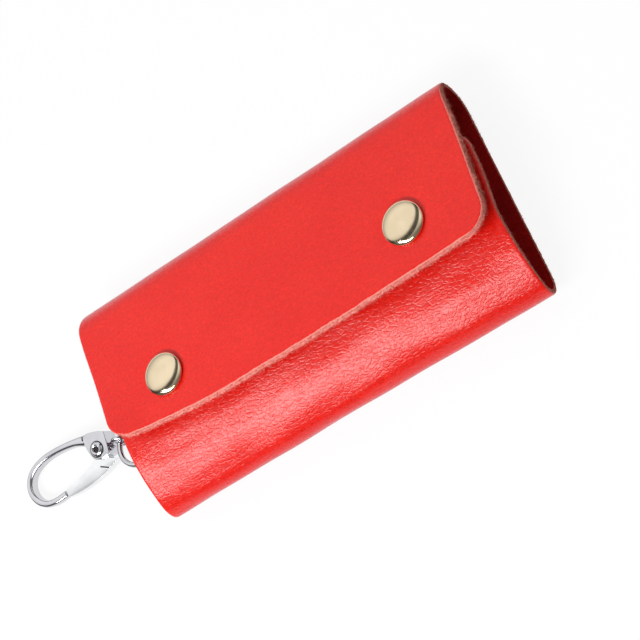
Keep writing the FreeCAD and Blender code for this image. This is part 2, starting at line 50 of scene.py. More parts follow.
# Camera at the photograph's angle.
RIGHT = Vector((0.7865, -0.4035, -0.4676)).normalized()
BACK = Vector((0.3789, -0.2829, 0.8812)).normalized()
TOP = BACK.cross(RIGHT).normalized()
RIGHT = TOP.cross(BACK)
camera = bpy.data.objects.new("camera", bpy.data.cameras.new("camera"))
scene.collection.objects.link(camera)
camera.data.sensor_width = 36.0
camera.data.lens = 106.016
camera.data.clip_start = 0.01
place = Matrix((RIGHT, TOP, BACK)).transposed().to_4x4()
place.translation = Vector((184.34, -141.22, 430.75)) * MM
camera.matrix_world = place
scene.camera = camera
scene.view_settings.view_transform = "Standard"


class Nodes:
    """A node tree that is written as nested calls."""

    def __init__(self, tree):
        self.tree = tree

    def add(self, kind, sockets=None, **settings):
        made = self.tree.nodes.new(kind)
        for key, value in settings.items():
            setattr(made, key, value)
        for key, value in (sockets or {}).items():
            self.put(made.inputs[key], value)
        return made

    def put(self, socket, value):
        if isinstance(value, bpy.types.NodeSocket):
            self.tree.links.new(value, socket)
        else:
            socket.default_value = value

    def math(self, operation, *values, clamp=False):
        made = self.add("ShaderNodeMath", operation=operation, use_clamp=clamp)
        for index, value in enumerate(values):
            self.put(made.inputs[index], value)
        return made.outputs[0]

    def weighted(self, *terms):
        """The sum of values, each times its weight."""
        total = None
        for value, weight in terms:
            term = self.math("MULTIPLY", value, weight)
            total = term if total is None else self.math("ADD", total, term)
        return total

    def inverse(self, value):
        return self.math("SUBTRACT", 1.0, value)

    def mix(self, factor, first, second):
        made = self.add("ShaderNodeMix", data_type="RGBA")
        self.put(made.inputs[0], factor)
        self.put(made.inputs[6], first)
        self.put(made.inputs[7], second)
        return made.outputs[2]

    def ramp(self, value, low, high, bottom=0.0, top=1.0, kind="SMOOTHSTEP"):
        made = self.add("ShaderNodeMapRange", {"Value": value, "From Min": low, "From Max": high,
                                               "To Min": bottom, "To Max": top}, interpolation_type=kind)
        return made.outputs[0]


class Shader(Nodes):
    """A material's node tree, with its patterns in the object's own coordinates."""

    def __init__(self, name):
        self.material = bpy.data.materials.new(name)
        self.material.use_nodes = True
        super().__init__(self.material.node_tree)
        self.tree.nodes.clear()
        self.out = self.add("ShaderNodeOutputMaterial")

    def coords(self, scale=(1, 1, 1)):
        where = self.add("ShaderNodeTexCoord").outputs["Object"]
        return self.add("ShaderNodeMapping", {"Vector": where, "Scale": scale}).outputs[0]

    def noise(self, where, scale, detail=3.0, rough=0.5):
        made = self.add("ShaderNodeTexNoise", {"Vector": where, "Scale": scale, "Detail": detail,
                                               "Roughness": rough})
        return made.outputs["Fac"]

    def cell_edges(self, where, scale):
        made = self.add("ShaderNodeTexVoronoi", {"Vector": where, "Scale": scale}, feature="DISTANCE_TO_EDGE")
        return made.outputs["Distance"]

    def attribute(self, name):
        return self.add("ShaderNodeAttribute", attribute_name=name).outputs["Fac"]

    def bump(self, height, distance):
        made = self.add("ShaderNodeBump", {"Height": height, "Distance": distance, "Strength": 1.0})
        return made.outputs[0]

    def surface(self, sockets):
        made = self.add("ShaderNodeBsdfPrincipled", sockets)
        self.tree.links.new(made.outputs[0], self.out.inputs[0])
        return self.material


def rgb(*screen):
    """A linear colour from 0-255 screen values."""
    linear = [c / 255 / 12.92 if c < 11 else ((c / 255 + 0.055) / 1.055) ** 2.4 for c in screen]
    return (*linear, 1)


def leather_grain():
    """Red grain side: a net of short wrinkles along the case where it bends, finer on the flat flap, with
    painted shade in its creases.
    """
    s = Shader("leather_grain")
    pebble = s.attribute("pebble")
    edge = s.attribute("edge")
    plain = s.coords()
    warp = s.add("ShaderNodeTexNoise", {"Vector": plain, "Scale": 300.0, "Detail": 2.0}).outputs["Color"]
    reach = (0.0012, 0.0012, 0.0012)
    bent = s.add("ShaderNodeVectorMath", {0: warp, 1: reach, 2: plain}, operation="MULTIPLY_ADD").outputs[0]

    def stretched(share):
        return s.add("ShaderNodeMapping", {"Vector": bent, "Scale": (share, 1, 1)}).outputs[0]

    def creases(where, scale, width):
        level = s.math("ABSOLUTE", s.math("SUBTRACT", s.noise(where, scale, 2.0), 0.5))
        return s.ramp(level, 0.0, width)

    net = s.ramp(s.cell_edges(stretched(0.5), 1050.0), 0.0, 0.17)
    fine = creases(stretched(0.6), 1250.0, 0.16)
    long_lines = creases(stretched(0.3), 520.0, 0.10)
    pores = s.noise(plain, 2600.0, 2.0)
    folds = s.noise(stretched(0.35), 560.0, 2.0)
    coarse = s.math("MULTIPLY", s.weighted((net, 0.55), (long_lines, 0.30), (folds, 0.8)), pebble)
    height = s.math("ADD", coarse, s.weighted((fine, 0.34), (pores, 0.14)))
    normal = s.bump(height, 0.00004)
    cloud = s.noise(plain, 70.0, 3.0)
    red = s.mix(s.ramp(cloud, 0.3, 0.7), rgb(239, 25, 7), rgb(244, 32, 10))
    speck = s.ramp(s.noise(plain, 1500.0, 3.0, 0.6), 0.36, 0.64, 0.36, 0.0)
    red = s.mix(speck, red, rgb(198, 14, 6))
    # Painted shade: the creases of the net and of the fine grain are darkened in the colour.
    deep = s.math("MULTIPLY", s.inverse(net), s.math("MULTIPLY", pebble, 0.42))
    crease_shade = s.math("MAXIMUM", deep, s.math("MULTIPLY", s.inverse(fine), 0.26))
    red = s.mix(crease_shade, red, rgb(184, 6, 4))
    uneven = s.math("MULTIPLY", s.noise(plain, 2600.0, 3.0), 0.7)
    frayed = s.ramp(s.math("ADD", edge, uneven), 0.92, 1.25)
    colour = s.mix(frayed, red, rgb(246, 150, 138))
    rough = s.math("ADD", 0.24, s.weighted((frayed, 0.45), (s.noise(plain, 900.0), 0.08)))
    return s.surface({"Base Color": colour, "Roughness": rough, "Normal": normal,
                      "Specular IOR Level": 0.38, "Sheen Weight": 0.25,
                      "Sheen Roughness": 0.45, "Sheen Tint": (0.50, 0.42, 0.54, 1)})


def leather_flesh():
    """Suede inside of the leather, a dyed red with a short nap, made darker with painted shade for the inside
    of the case.
    """
    s = Shader("leather_flesh")
    plain = s.coords()
    nap = s.noise(s.coords((1, 2.2, 2.2)), 1150.0, 5.0, 0.75)
    cloud = s.noise(plain, 90.0, 4.0, 0.6)
    colour = s.mix(s.ramp(cloud, 0.3, 0.7), rgb(148, 6, 5), rgb(160, 8, 6))
    colour = s.mix(s.ramp(nap, 0.44, 0.66, 0.0, 0.55), colour, rgb(190, 36, 30))
    return s.surface({"Base Color": colour, "Roughness": 0.95, "Normal": s.bump(nap, 0.00022),
                      "Specular IOR Level": 0.15})


def leather_raw():
    """Cut edge of pale fibre streaked with dye, with painted shade that makes it browner and darker at the two
    ends than along the flap.
    """
    s = Shader("leather_raw")
    plain = s.coords()
    end_shade = s.attribute("pebble")
    fibre = s.noise(plain, 2400.0, 5.0, 0.7)
    dye = s.noise(plain, 700.0, 3.0)
    pale = s.mix(end_shade, rgb(250, 170, 158), rgb(196, 122, 106))
    deep = s.mix(end_shade, rgb(236, 92, 80), rgb(138, 52, 44))
    colour = s.mix(s.ramp(fibre, 0.35, 0.62), deep, pale)
    colour = s.mix(s.ramp(dye, 0.55, 0.8, 0.0, 0.5), colour, deep)
    return s.surface({"Base Color": colour, "Roughness": 0.9, "Normal": s.bump(fibre, 0.00025),
                      "Specular IOR Level": 0.2})


def polished(name, colour, dull, rough, scratch, streaks=(1, 1, 1)):
    """Plated metal with faint rubbing marks and a slightly uneven polish."""
    s = Shader(name)
    plain = s.coords()
    marks = s.noise(s.coords(streaks), 1400.0, 4.0, 0.65)
    patch = s.noise(plain, 160.0, 3.0)
    tone = s.mix(s.ramp(patch, 0.35, 0.7), colour, dull)
    roughness = s.math("ADD", rough, s.math("MULTIPLY", s.ramp(marks, 0.45, 0.75), scratch))
    return s.surface({"Base Color": tone, "Metallic": 1.0, "Roughness": roughness,
                      "Normal": s.bump(marks, 0.000004)})


def painted_hollow_shade():
    """Painted shade: a dark finish for the clasp's hollows, where shade falls."""
    s = Shader("painted_hollow_shade")
    spot = s.noise(s.coords(), 2500.0, 3.0)
    return s.surface({"Base Color": s.mix(spot, rgb(26, 24, 24), rgb(58, 55, 53)), "Roughness": 0.7,
                      "Normal": s.bump(spot, 0.00003), "Specular IOR Level": 0.2})


GRAIN = leather_grain()
FLESH = leather_flesh()
RAW = leather_raw()
NICKEL = polished("nickel", rgb(236, 217, 184), rgb(224, 205, 172), 0.12, 0.08)
# Painted shade for the clasp's hollows, as a dark finish.
PAINTED_SHADE = painted_hollow_shade()
CHROME = polished("chrome", rgb(212, 212, 216), rgb(201, 201, 206), 0.06, 0.06)
# A lighter copy of the chrome for the gate: painted light for its bright reflection.
CHROME_PAINTED_LIGHTER = polished("chrome_painted_lighter", rgb(242, 243, 245), rgb(233, 234, 236), 0.06, 0.06)
SATIN = polished("satin_nickel", rgb(220, 217, 211), rgb(208, 205, 198), 0.24, 0.07, (1, 0.06, 1))
WIRE = polished("spring_wire", rgb(158, 158, 160), rgb(132, 132, 135), 0.30, 0.15)


# The leather, in millimetres.
LEATHER = 1.4  # thickness
HALF = 60.0  # half the case's length
TOP_AXIS = 22.002  # where the top fold starts across the case
TOP_FOLD = 7.998  # its outer radius
LOW_AXIS = -24.102  # where the lower fold starts across the case
LOW_FOLD = 5.898  # its outer radius
SEAM = 0.6  # straight run between a fold and the back
FRONT_RUN = 35.33  # the front flap's straight run
UNDER_RUN = 16.857  # the under flap's straight run
SNAPS = (-38.4, 38.4)
RIVET_X, RIVET_Y = -50.75, 19.202  # the rail's rivets, on both sides of the middle

# Its raw edges, in millimetres.
ROUNDED = 0.55  # how far in the grain side rounds off
WORN = 0.7  # how far in it loses its dye
CUT_ROWS = (0.25, 0.55, 0.85)  # rows of points across the cut, as shares of its depth
CLEAN = 0.75  # how much less the left end frays than the rest
FIBRE = 0.06  # a fibre's radius
FIBRE_ROOT = 0.12  # how deep it sits
FIBRE_FLOOR = -0.2  # its lowest point
GRAIN_SIDE, FLESH_SIDE, CUT = range(3)  # the faces' materials, in their order on the mesh


def unit(angle):
    """The direction at an angle in degrees."""
    return np.array((math.cos(math.radians(angle)), math.sin(math.radians(angle))))


class Profile:
    """A smooth line across the case made of straight runs and arcs, followed by its length."""

    def __init__(self, start, heading, left):
        self.point = np.array(start, float)
        self.heading = heading
        self.left = left
        self.runs = []
        self.length = 0.0

    def straight(self, length):
        self.runs.append((self.length, length, self.point.copy(), self.heading, None))
        self.point = self.point + unit(self.heading) * length
        self.length += length
        return self

    def arc(self, radius, turn):
        """A turn in degrees, anticlockwise positive."""
        length = radius * math.radians(abs(turn))
        self.runs.append((self.length, length, self.point.copy(), self.heading, (radius, turn)))
        side = math.copysign(90, turn)
        centre = self.point + unit(self.heading + side) * radius
        self.heading += turn
        self.point = centre - unit(self.heading + side) * radius
        self.length += length
        return self

    def at(self, s):
        """The point at length s and the direction that faces out of the case there."""
        for begin, length, point, heading, bend in self.runs:
            if s <= begin + length or begin + length >= self.length - 1e-9:
                break
        t = s - begin
        if bend is None:
            spot = point + unit(heading) * t
        else:
            radius, turn = bend
            side = math.copysign(90, turn)
            centre = point + unit(heading + side) * radius
            heading = heading + turn * t / length
            spot = centre - unit(heading + side) * radius
        return spot, unit(heading + (90 if self.left else -90))


front_line = Profile((TOP_AXIS - SEAM, 0.0), 0, False)
front_line.straight(SEAM).arc(TOP_FOLD, 170)
FRONT_FLAT = front_line.length
SNAP_S = FRONT_FLAT + 23.343
front_line.straight(FRONT_RUN)
under_line = Profile((LOW_AXIS + SEAM, 0.0), 180, True)
under_line.straight(SEAM).arc(LOW_FOLD, -145).arc(32.912, -41)
UNDER_FLAT = under_line.length
under_line.straight(UNDER_RUN)
BACK_START = LOW_AXIS + SEAM
back_line = Profile((BACK_START, 0.0), 0, False)
back_line.straight(TOP_AXIS - LOW_AXIS - 2 * SEAM)


def bump_at(value, middle, width):
    """A hump of height 1 round the middle."""
    return math.exp(-((value - middle) / width) ** 2)


def smooth(value, low, high):
    """A soft step from 0 at low to 1 at high."""
    t = min(max((value - low) / (high - low), 0), 1)
    return t * t * (3 - 2 * t)


def spread(length, step, close_start, close_end, extra=()):
    """Places along a length, closer together towards the raw ends."""
    near = (0, 0.12, 0.3, 0.55, 0.9, 1.4)
    start = near if close_start else (0,)
    end = near if close_end else (0,)
    middle = np.arange(start[-1] + step, length - end[-1] - step / 2, step)
    return sorted({round(float(v), 4) for v in (*start, *middle, *(length - e for e in end), *extra)})


def lump(x, y, z, size):
    """Smooth noise from -1 to 1 with features of about the given size in millimetres."""
    return noise.noise(Vector((x / size, y / size, z / size)))


def soften(mesh, angle):
    """Smooth shading that keeps edges sharper than the angle crisp."""
    mesh.polygons.foreach_set("use_smooth", [True] * len(mesh.polygons))
    mesh.set_sharp_from_angle(angle=math.radians(angle))


def make_sheet(name, line, step, free, corner, trim, lift, bow, pebble, splay, fibres,
               extra_s=(), extra_x=()):
    """A sheet of leather along a profile, with its grain side out and its ends raw.

    free tells whether the profile's end is a raw edge with rounded corners. trim shortens the left and the
    right end, lift moves the grain side and the flesh side, bow lengthens the free end, pebble is the share of
    coarse grain, splay is how far the raw edge stands out, and extra_s and extra_x add rows and columns."""
    rows = spread(line.length, step, False, free, extra_s)
    columns = [c - HALF for c in spread(2 * HALF, step, True, True, [x + HALF for x in extra_x])]
    count_s, count_x = len(rows), len(columns)

    def ends(s):
        rest = line.length - s
        left, right = (HALF - short for short in trim(s))
        if free and rest < corner:
            round_off = corner - math.sqrt(max(corner ** 2 - (corner - rest) ** 2, 0))
            left, right = left - round_off, right - round_off
        return -left, right

    def place(j, k):
        """Where a row and a column cross, along the case and along the profile."""
        low, high = ends(rows[j])
        return low + (high - low) * (columns[k] / HALF + 1) / 2, rows[j]

    def bulge(stand, share):
        """How far the cut swells at a share of its depth."""
        return stand * math.sin(math.pi * (0.15 + 0.75 * share))

    def spot(x, s, height):
        point, up = line.at(s + bow(x, s))
        y, z = point + up * height
        return Vector((x, y, z))

    verts, faces, marks = [], [], []
    edge, coarse = [], []

    def vert(p, e, c):
        verts.append(p * MM)
        edge.append(e)
        coarse.append(c)
        return len(verts) - 1

    def face(indices, mark):
        faces.append(indices)
        marks.append(mark)

    grids = []
    for side in (GRAIN_SIDE, FLESH_SIDE):
        grid = []
        for j, s in enumerate(rows):
            low, high = ends(s)
            row = []
            for k in range(count_x):
                x = place(j, k)[0]
                gap = min(x - low, high - x)
                if free:
                    gap = min(gap, line.length - s)
                soft = max(1 - gap / ROUNDED, 0)
                height = lift(x, s)[side]
                if side == GRAIN_SIDE:
                    height -= 0.20 * soft ** 2
                    fray = min(0.4 + 0.75 * splay(s), 1) * max(1 - gap / WORN, 0)
                else:
                    height -= LEATHER + 0.45 * (splay(s) - 0.3) * soft
                    fray = 0
                if free:
                    fray *= 1 - CLEAN * smooth(low + 3 - x, 0, 3) * smooth(line.length - s, 0.5, 4)
                row.append(vert(spot(x, s, height), fray, pebble(x, s)))
            grid.append(row)
        grids.append(grid)
    outer, inner = grids
    for j in range(count_s - 1):
        for k in range(count_x - 1):
            face((outer[j][k], outer[j][k + 1], outer[j + 1][k + 1], outer[j + 1][k]), GRAIN_SIDE)
            face((inner[j][k], inner[j + 1][k], inner[j + 1][k + 1], inner[j][k + 1]), FLESH_SIDE)

    ring = [(j, count_x - 1) for j in range(count_s)]
    if free:
        ring += [(count_s - 1, k) for k in range(count_x - 2, -1, -1)]
        ring += [(j, 0) for j in range(count_s - 2, -1, -1)]
        chains = [ring]
    else:
        chains = [ring, [(j, 0) for j in range(count_s - 1, -1, -1)]]
    rng = np.random.default_rng(len(name))
    hairs = []
    for chain in chains:
        places = [place(j, k) for j, k in chain]
        strips = []
        for index, (j, k) in enumerate(chain):
            before = places[max(index - 1, 0)]
            after = places[min(index + 1, len(chain) - 1)]
            way = Vector((after[1] - before[1], before[0] - after[0]))
            if way.length < 1e-6:
                way = Vector((1 if k else -1, 0))
            way.normalize()
            x, s = places[index]
            ahead = spot(x, s + 0.05, 0) - spot(x, s - 0.05, 0)
            out = (Vector((1, 0, 0)) * way.x + ahead.normalized() * way.y).normalized()
            top, low = verts[outer[j][k]] / MM, verts[inner[j][k]] / MM
            strip = [outer[j][k]]
            # How far the cut faces along the case; it sets the painted shade that darkens the two ends.
            tone = way.x ** 2
            stand = splay(s) * (1 - CLEAN * smooth(-way.x, 0.3, 0.9))
            for share in CUT_ROWS:
                p = top.lerp(low, share)
                swell = bulge(stand, share) - 0.1
                swell += (0.1 + 0.35 * stand) * lump(p.x, p.y + 40 * share, p.z, 0.7)
                strip.append(vert(p + out * swell, 1, tone))
            strip.append(inner[j][k])
            strips.append(strip)
            hairs.append((top, low, out, tone, stand))
        for one, two in zip(strips, strips[1:]):
            for a in range(len(CUT_ROWS) + 1):
                face((one[a], one[a + 1], two[a + 1], two[a]), CUT)
    seams = [0] if free else [0, count_s - 1]
    for j in seams:
        for k in range(count_x - 1):
            quad = (outer[j][k], inner[j][k], inner[j][k + 1], outer[j][k + 1])
            face(quad if j == 0 else quad[::-1], CUT)

    for _ in range(fibres):
        index = int(rng.integers(0, len(hairs) - 1))
        one, two = hairs[index], hairs[index + 1]
        if (one[0] - two[0]).length > 3:
            continue
        t, depth = rng.random(2).tolist()
        root = one[0].lerp(two[0], t).lerp(one[1].lerp(two[1], t), depth)
        out, tone, stand = one[2:]
        root += out * (bulge(stand, depth) - 0.15)
        lean = Vector(rng.normal(0, 0.7, 3).tolist())
        grow = (out + lean).normalized()
        if grow.dot(out) < 0.1:
            continue
        long = (0.25 + 0.75 * float(rng.random()) ** 2) * (0.3 + 0.7 * min(stand / 0.6, 1))
        side = grow.cross(Vector(rng.normal(0, 1, 3).tolist())).normalized() * FIBRE
        tip = root + grow * long + Vector((0, 0, -0.25 * long))
        tip.z = max(tip.z, FIBRE_FLOOR)
        base = root - out * FIBRE_ROOT
        mid = base.lerp(tip, 0.55) + Vector(rng.normal(0, 0.04, 3).tolist())
        across = grow.cross(side) * math.sqrt(0.75)
        round_it = (side, across - side / 2, -across - side / 2)
        foot = [vert(base + way, 1, tone) for way in round_it]
        waist = [vert(mid + way * 0.7, 1, tone) for way in round_it]
        point = vert(tip, 1, tone)
        face(foot[::-1], CUT)
        for a, b in ((0, 1), (1, 2), (2, 0)):
            face((foot[a], foot[b], waist[b], waist[a]), CUT)
            face((waist[a], waist[b], point), CUT)

    mesh = bpy.data.meshes.new(name)
    mesh.from_pydata(verts, [], faces)
    # On the cut, pebble holds how far it faces along the case, for the painted shade at the ends.
    for label, values in (("edge", edge), ("pebble", coarse)):
        mesh.attributes.new(label, "FLOAT", "POINT").data.foreach_set("value", values)
    for material in (GRAIN, FLESH, RAW):
        mesh.materials.append(material)
    mesh.polygons.foreach_set("material_index", marks)
    soften(mesh, 55)
    made = bpy.data.objects.new(name, mesh)
    scene.collection.objects.link(made)
    return made


def front_trim(s):
    """The ends drift in towards the free edge, and the left one also round the fold."""
    drift = 1.3 * smooth(s, 24, 60)
    return drift + 1.7 * bump_at(s, 12.5, 7) * smooth(s, 0, 4), drift


def under_trim(s):
    """The left end drifts in, and the right one ends up past the front flap's."""
    drift = 0.4 * smooth(s, 12, 45)
    return drift + 0.5 * smooth(s, 8, 20), drift - 1.1 * smooth(s, 34, 48)


def back_trim(s):
    """Square ends."""
    return 0, 0


def front_lift(x, s):
    """Soft waves, a dent round each cap and a raised corner at the clasp's end."""
    wave = 0.12 * lump(x, s, 0, 14) * smooth(s, 2, 10)
    near = min(math.hypot(x - snap, s - SNAP_S) for snap in SNAPS)
    wave *= smooth(near, 6.5, 12)
    dent = -0.16 * bump_at(near, 6.2, 1.5)
    corner = 1.9 * smooth(-x, 45.5, 62) * smooth(s, SNAP_S - 16, front_line.length + 3)
    return wave + dent + corner, wave * 0.6 + corner


def front_bow(x, s):
    """A free edge that is rounder than straight, drawn back towards the left and unevenly cut."""
    share = max((s - FRONT_FLAT) / FRONT_RUN, 0)
    rough = 0.10 * lump(x, 3, 9, 2.2) + 0.16 * lump(x, 7, 1, 7)
    drawn = 1.9 * smooth(-x, 24, 58)
    return (0.65 - 1.3 * (x / HALF) ** 2 - drawn) * share ** 2 + rough * smooth(share, 0.9, 1)


def under_lift(x, s):
    """Waves round the lower fold, a crease beside the right end and ends that flare."""
    rest = smooth(s, 3, 9) * (1 - smooth(s, UNDER_FLAT - 8, UNDER_FLAT - 2))
    wave = (0.22 * lump(x * 0.35, s, 5, 5) + 0.16 * lump(x, s, 2, 16)) * rest
    crease = -0.2 * bump_at(HALF - x, 2.1, 0.45) * smooth(s, UNDER_FLAT - 12, UNDER_FLAT - 4)
    flare = 0.45 * (x / HALF) ** 2 * bump_at(s, 9.5, 5)
    return wave + crease + flare, wave * 0.5 + flare


def under_bow(x, s):
    """A free end that reaches farther under the front flap."""
    return 3.0 * max((s - UNDER_FLAT) / UNDER_RUN, 0) ** 1.3


def back_lift(x, s):
    """A dip for each cap of the rail's rivets."""
    y = back_line.at(s)[0][0]
    near = min(math.hypot(x - RIVET_X, abs(y) - RIVET_Y), 20)
    dip = -0.62 * (1 - smooth(near, 3.5, 4.0))
    return dip, 0.0


def still(x, s):
    """No bow."""
    return 0.0


front = make_sheet("front_leather", front_line, 0.6, True, 6.5, front_trim, front_lift, front_bow,
                   lambda x, s: 0.42 + 0.30 * (1 - smooth(s, FRONT_FLAT - 6, FRONT_FLAT + 6)),
                   lambda s: 0.2 + 0.6 * smooth(s, 12, 27), 5600)
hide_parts("front_flap")
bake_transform(front)
under = make_sheet("under_leather", under_line, 0.6, True, 4.0, under_trim, under_lift, under_bow,
                   lambda x, s: 1.0 - 0.5 * smooth(s, UNDER_FLAT - 4, UNDER_FLAT + 4),
                   lambda s: 0.2 + 0.15 * smooth(s, 12, 27), 3600)
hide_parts("under_flap")
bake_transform(under)
DIP_STEP = 0.35
fine_x = list(np.arange(-55.5, -46.0, DIP_STEP))
fine_s = [RIVET_Y + side - BACK_START for side in np.arange(-4.4, 2.0, DIP_STEP)]
fine_s += [-RIVET_Y + side - BACK_START for side in np.arange(-4.2, 4.4, DIP_STEP)]
fine_s = [s for s in fine_s if 0.2 < s < back_line.length - 0.2]
back = make_sheet("back_leather", back_line, 1.6, False, 0, back_trim, back_lift, still,
                  lambda x, s: 0.45, lambda s: 0.2, 700, fine_s, fine_x)
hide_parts("back_panel")
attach(back, "back")


def lathe(name, profile, steps, place, material):
    """A turned piece from radius and height pairs in millimetres, about the place's Z axis."""
    bm = bmesh.new()
    rings = []
    for radius, height in profile:
        if radius == 0:
            rings.append([bm.verts.new((0, 0, height * MM))])
            continue
        rings.append([bm.verts.new((radius * MM * math.cos(2 * math.pi * i / steps),
                                    radius * MM * math.sin(2 * math.pi * i / steps), height * MM))
                      for i in range(steps)])
    for one, two in zip(rings, rings[1:]):
        for i in range(steps):
            quad = [one[i % len(one)], one[(i + 1) % len(one)], two[(i + 1) % len(two)], two[i % len(two)]]
            bm.faces.new(list(dict.fromkeys(quad)))
    bmesh.ops.recalc_face_normals(bm, faces=bm.faces)
    mesh = bpy.data.meshes.new(name)
    bm.to_mesh(mesh)
    bm.free()
    mesh.materials.append(material)
    soften(mesh, 50)
    made = bpy.data.objects.new(name, mesh)
    scene.collection.objects.link(made)
    mesh.transform(place)
    return made


# Snap caps: a domed shell with a stem, as radius and height pairs.
CAP_RADIUS, CAP_RIM, CAP_RISE, CAP_ROUND = 5.8, 0.42, 1.78, 0.96
CAP_DOME = [(CAP_RADIUS * math.sin(a) ** CAP_ROUND, CAP_RIM + CAP_RISE * math.cos(a) ** CAP_ROUND)
            for a in np.linspace(0, math.pi / 2, 24)[1:-1]]
CAP = [(0, CAP_RIM + CAP_RISE), *CAP_DOME, (CAP_RADIUS, CAP_RIM), (5.72, 0.12), (5.5, 0.03),
       (1.5, 0.05), (1.5, -1.4), (0, -1.4)]
spot, up = front_line.at(SNAP_S)
upright = Vector((0, *up)).to_track_quat("Z", "X").to_matrix().to_4x4()
for name, x in zip(("left", "right"), SNAPS):
    where = Matrix.Translation(Vector((x, *spot)) * MM) @ upright
    cap = lathe(f"{name}_cap_shell", CAP, 96, where, NICKEL)
    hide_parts(f"{name}_snap_cap")
    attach(cap, "front")


# The clasp, laid out flat in millimetres with the ring's wire at its origin. A row of the bow has its place,
# half width and half height, the shank and the gate are outlines, and the rivet has radius and height pairs.
CLASP = Matrix.Translation(Vector((-67.1713, -3.63407, 4.32049)) * MM) @ Euler(
    [math.radians(a) for a in (0.181473, -4.88759, -7.8085)], "XYZ").to_matrix().to_4x4()
PIVOT = Vector((-6.8, 0, 0))
BOW = ((-6.5, 3.57, 1.37, 2.38), (-9.0, 3.78, 1.57, 2.38), (-10.6, 3.82, 1.68, 2.34),
       (-12.5, 4.2, 1.44, 2.24), (-14.8, 4.55, 1.2, 2.1), (-18.5, 4.73, 1.06, 1.92),
       (-22.5, 4.6, 1.02, 1.8), (-26.2, 4.1, 1.02, 1.8), (-29.3, 3.1, 1.02, 1.8),
       (-31.8, 1.6, 1.04, 1.8), (-33.3, -0.4, 1.06, 1.8), (-33.8, -2.6, 1.06, 1.8),
       (-33.3, -4.8, 1.04, 1.75), (-31.9, -6.7, 1.02, 1.7), (-29.7, -7.95, 1.0, 1.65),
       (-27.1, -8.3, 1.0, 1.6), (-24.6, -8.05, 1.0, 1.5), (-22.1, -7.55, 1.0, 1.4))
BOW_STEPS = 44
BOW_SQUARE = 0.55  # the lower, the squarer its section
BOW_UNDERSIDE = 0.72  # height of the lower half against the upper
SHANK = ((-3.1, 3.9), (-5.0, 4.6), (-7.6, 5.1), (-9.3, 5.2), (-10.3, 4.4), (-10.5, 3.2), (-10.3, 1.7),
         (-9.9, 0.4), (-9.35, -0.9), (-8.6, -2.1), (-7.3, -2.75), (-5.4, -2.7), (-3.6, -2.4), (-3.1, -2.0))
GATE = ((-5.2, 1.1), (-5.9, 1.6), (-6.8, 1.85), (-7.9, 1.5), (-8.6, 0.6), (-8.9, -0.7), (-10.0, -2.5),
        (-12.4, -3.7), (-15.2, -4.75), (-18.2, -5.65), (-21.2, -6.4), (-21.5, -6.6), (-21.45, -8.5),
        (-21.1, -8.75), (-17.9, -8.7), (-14.6, -8.4), (-10.6, -7.6), (-7.0, -6.6), (-4.5, -5.6),
        (-2.6, -4.85), (-2.4, -4.1), (-3.3, -3.7), (-4.6, -3.1), (-4.95, -1.2))
RIVET = ((0, 2.46), (0.74, 2.48), (0.86, 2.72), (1.0, 2.9), (1.3, 3.05), (1.6, 2.98), (1.88, 2.82),
         (2.05, 2.6), (2.34, 2.43), (2.34, 2.3), (0.9, 2.3), (0.9, -2.4), (2.1, -2.4), (1.95, -2.7),
         (1.6, -2.88), (0, -2.9))
RIVET_STEPS = 64
RIVET_SHADED = (0, 1, 7)  # rings of faces in its dimple and under its rim, which get painted shade
NOTCH = Vector((-10.75, 4.35, 0))
NOTCH_FLOOR = 1.7
GROOVE = Vector((-6.7, -5.15, 0))
GROOVE_FLOOR = 0.85


def catmull(points, steps):
    """A smooth line through rows of numbers."""
    rows = np.array(points, float)
    ends = np.vstack((2 * rows[0] - rows[1], rows, 2 * rows[-1] - rows[-2]))
    line = []
    for a, b, c, d in zip(ends, ends[1:], ends[2:], ends[3:]):
        for t in np.arange(steps) / steps:
            line.append(0.5 * (2 * b + (c - a) * t + (2 * a - 5 * b + 4 * c - d) * t ** 2
                               + (3 * b - a - 3 * c + d) * t ** 3))
    line.append(rows[-1])
    return np.array(line)


def sweep_bow(bm):
    """The bow as a rod of changing oval section, rounded off at the nose."""
    line = catmull(BOW, 6)
    heading = np.gradient(line[:, :2], axis=0)
    heading /= np.linalg.norm(heading, axis=1)[:, None]
    rings = []
    around = [2 * math.pi * i / BOW_STEPS for i in range(BOW_STEPS)]

    def ring(x, y, way, wide, tall):
        made = []
        for a in around:
            across = math.copysign(abs(math.cos(a)) ** BOW_SQUARE, math.cos(a)) * wide
            high = abs(math.sin(a)) ** BOW_SQUARE * (tall if math.sin(a) > 0 else -BOW_UNDERSIDE * tall)
            made.append(bm.verts.new(Vector((x - way[1] * across, y + way[0] * across, high)) * MM))
        return made

    for (x, y, wide, tall), way in zip(line, heading):
        rings.append(ring(x, y, way, wide, tall))
    x, y, wide, tall = line[-1]
    way = heading[-1]
    for ahead, share in ((0.12, 0.9), (0.18, 0.75)):
        rings.append(ring(x + way[0] * ahead, y + way[1] * ahead, way, wide * share, tall * share))
    for one, two in zip(rings, rings[1:]):
        for i in range(BOW_STEPS):
            after = (i + 1) % BOW_STEPS
            bm.faces.new((one[i], one[after], two[after], two[i]))
    bm.faces.new(rings[0][::-1])
    bm.faces.new(rings[-1])


